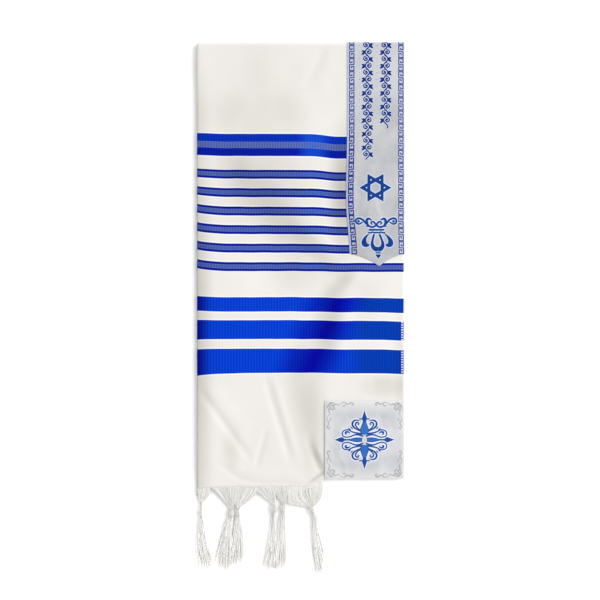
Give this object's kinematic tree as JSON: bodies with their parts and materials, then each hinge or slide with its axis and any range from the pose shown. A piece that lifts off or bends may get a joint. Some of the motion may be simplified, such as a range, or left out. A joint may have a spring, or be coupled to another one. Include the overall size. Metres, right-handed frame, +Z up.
{
  "type": "tallit prayer shawl",
  "caption": "White wool prayer shawl with blue woven stripes, an embroidered neckband, a corner patch and knotted fringe, folded in four and laid flat",
  "frame": {"origin": "centre of the bounding box at floor level", "axes": "+Y runs from the fringe to the mid-length fold, +X from the lengthwise fold to the selvages, +Z up from the floor"},
  "size_m": [0.352, 0.8961, 0.0104],
  "materials": {
    "striped_cloth": "soft twill weave, off-white with saturated blue stripes",
    "neckband_satin": "silver-grey satin with blue woven ornament",
    "patch_satin": "pearl-grey satin with blue woven ornament",
    "fringe_yarn": "matt off-white twisted yarn"
  },
  "bodies": {
    "root": {"front_cloth": "striped_cloth", "inner_layers": "striped_cloth", "neckband": "neckband_satin", "corner_patch": "patch_satin", "tassel_1": "fringe_yarn", "tassel_2": "fringe_yarn", "tassel_3": "fringe_yarn", "tassel_4": "fringe_yarn", "tassel_5": "fringe_yarn", "tassel_6": "fringe_yarn"}
  },
  "joints": []
}
